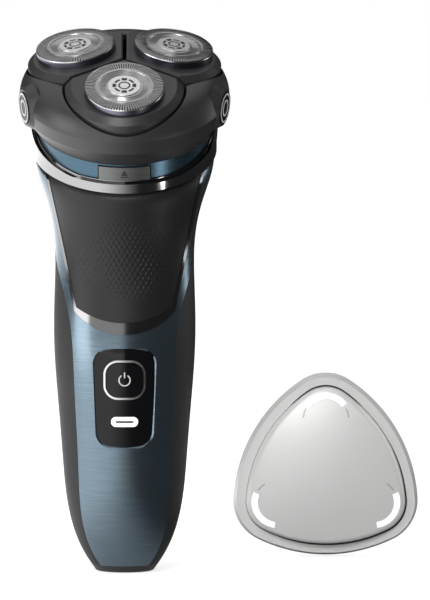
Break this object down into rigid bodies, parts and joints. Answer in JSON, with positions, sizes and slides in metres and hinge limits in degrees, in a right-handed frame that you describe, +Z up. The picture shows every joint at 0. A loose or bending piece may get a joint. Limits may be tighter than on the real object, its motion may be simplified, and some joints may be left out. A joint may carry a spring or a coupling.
{
  "type": "electric shaver",
  "caption": "Upright electric rotary shaver with tilted multi-head shaving unit that flips open, contoured two-tone handle with control panel, and a separate protection cap.",
  "frame": {"origin": "middle of the base's underside, at the mouth of the charging socket", "axes": "+Z up along the handle, -Y towards the front with the control panel, +X to the right"},
  "size_m": [0.1159, 0.0742, 0.1562],
  "materials": {
    "blue_shell": "satin metallic blue, finely brushed",
    "grey_grip": "soft grip with a fine moulded texture",
    "dark_base": "matt moulded",
    "soft_black": "soft-touch satin",
    "dark_chrome": "black chrome",
    "gloss_black": "polished",
    "steel": "plain steel",
    "guard_steel": "ground steel foil",
    "light": "white light window",
    "brass": "turned",
    "inner_grey": "moulded",
    "inner_black": "moulded",
    "battery_sleeve": "shrink sleeve",
    "board": "lacquered board",
    "seal_rubber": "smooth",
    "gear_white": "acetal",
    "satin_grey": "satin metallic",
    "head_black": "satin black",
    "badge_black": "polished, pale ring printed on",
    "cap_silver": "satin silver grey"
  },
  "bodies": {
    "handle": {"front_shell": "blue_shell", "rear_grip": "grey_grip", "base_cap": "dark_base", "charging_socket": "dark_base", "socket_pins": "brass", "grip_panel": "soft_black", "grip_trim": "dark_chrome", "control_panel": "gloss_black", "power_button_ring": "steel", "status_light": "light", "chassis": "inner_grey", "battery": "battery_sleeve", "battery_tabs": "steel", "circuit_board": "board", "board_screws": "steel", "power_switch": "inner_black", "light_chip": "light", "neck_ring": "dark_chrome", "drive_deck": "blue_shell", "hinge_pin": "steel", "deck_seal": "seal_rubber", "gear_plate": "inner_grey", "deck_screws": "steel", "motor": "steel"},
    "rotor": {"motor_shaft": "steel", "motor_pinion": "brass"},
    "power_button": {"power_button": "gloss_black"},
    "release_button": {"release_button": "satin_grey"},
    "shaving_unit": {"head_shell": "head_black", "side_badges": "badge_black", "retaining_frame": "inner_grey", "head_latch": "inner_grey"},
    "cap": {"protection_cap": "cap_silver"},
    "drive_front": {"drive_gear_front": "gear_white", "drive_spindle_front": "gear_white"},
    "seat_front": {"head_seat_front": "head_black", "guard_front": "guard_steel", "guard_disc_front": "guard_steel"},
    "cutter_front": {"cutter_front": "steel"},
    "drive_right": {"drive_gear_right": "gear_white", "drive_spindle_right": "gear_white"},
    "seat_right": {"head_seat_right": "head_black", "guard_right": "guard_steel", "guard_disc_right": "guard_steel"},
    "cutter_right": {"cutter_right": "steel"},
    "drive_left": {"drive_gear_left": "gear_white", "drive_spindle_left": "gear_white"},
    "seat_left": {"head_seat_left": "head_black", "guard_left": "guard_steel", "guard_disc_left": "guard_steel"},
    "cutter_left": {"cutter_left": "steel"}
  },
  "joints": [
    {"name": "motor_spin", "type": "hinge", "parent": "handle", "child": "rotor", "pos_m": [0, -0.01, 0.1486], "axis": [0, -0.4226, 0.9063], "continuous": true},
    {"name": "power_press", "type": "slide", "parent": "handle", "child": "power_button", "axis": [0, 1, 0], "range_m": [0, 0.0006], "stiffness_N_per_m": 600},
    {"name": "release_press", "type": "slide", "parent": "handle", "child": "release_button", "axis": [0, 0.9063, 0.4226], "range_m": [0, 0.001], "stiffness_N_per_m": 500},
    {"name": "head_flip", "type": "hinge", "parent": "handle", "child": "shaving_unit", "pos_m": [0, 0.02434, 0.14122], "axis": [-1, 0, 0], "range_deg": [0, 110]},
    {"name": "cap_lift", "type": "slide", "parent": "handle", "child": "cap", "axis": [0, 0, 1], "range_m": [0, 0.1]},
    {"name": "gear_spin_front", "type": "hinge", "parent": "handle", "child": "drive_front", "pos_m": [0, -0.02267, 0.14269], "axis": [0, -0.4226, 0.9063], "continuous": true},
    {"name": "seat_flex_front", "type": "hinge", "parent": "shaving_unit", "child": "seat_front", "pos_m": [0, -0.01954, 0.13801], "axis": [1, 0, 0], "range_deg": [-2.5, 2.5], "stiffness_Nm_per_rad": 0.4},
    {"name": "cutter_spin_front", "type": "hinge", "parent": "seat_front", "child": "cutter_front", "pos_m": [0, -0.02486, 0.14167], "axis": [0, -0.5548, 0.832], "continuous": true},
    {"name": "gear_spin_right", "type": "hinge", "parent": "handle", "child": "drive_right", "pos_m": [0.0121, -0.00367, 0.15155], "axis": [0, -0.4226, 0.9063], "continuous": true},
    {"name": "seat_flex_right", "type": "hinge", "parent": "shaving_unit", "child": "seat_right", "pos_m": [0.01136, -0.0017, 0.14633], "axis": [-0.5, 0.7849, 0.366], "range_deg": [-2.5, 2.5], "stiffness_Nm_per_rad": 0.4},
    {"name": "cutter_spin_right", "type": "hinge", "parent": "seat_right", "child": "cutter_right", "pos_m": [0.0142, -0.00257, 0.15207], "axis": [0.131, -0.3492, 0.9278], "continuous": true},
    {"name": "gear_spin_left", "type": "hinge", "parent": "handle", "child": "drive_left", "pos_m": [-0.0121, -0.00367, 0.15155], "axis": [0, -0.4226, 0.9063], "continuous": true},
    {"name": "seat_flex_left", "type": "hinge", "parent": "shaving_unit", "child": "seat_left", "pos_m": [-0.01136, -0.0017, 0.14633], "axis": [-0.5, -0.7849, -0.366], "range_deg": [-2.5, 2.5], "stiffness_Nm_per_rad": 0.4},
    {"name": "cutter_spin_left", "type": "hinge", "parent": "seat_left", "child": "cutter_left", "pos_m": [-0.0142, -0.00257, 0.15207], "axis": [-0.131, -0.3492, 0.9278], "continuous": true}
  ],
  "couplings": [
    {"joint": "gear_spin_front", "follows": "motor_spin", "ratio": -0.72},
    {"joint": "cutter_spin_front", "follows": "motor_spin", "ratio": -0.72},
    {"joint": "gear_spin_right", "follows": "motor_spin", "ratio": -0.72},
    {"joint": "cutter_spin_right", "follows": "motor_spin", "ratio": -0.72},
    {"joint": "gear_spin_left", "follows": "motor_spin", "ratio": -0.72},
    {"joint": "cutter_spin_left", "follows": "motor_spin", "ratio": -0.72}
  ]
}
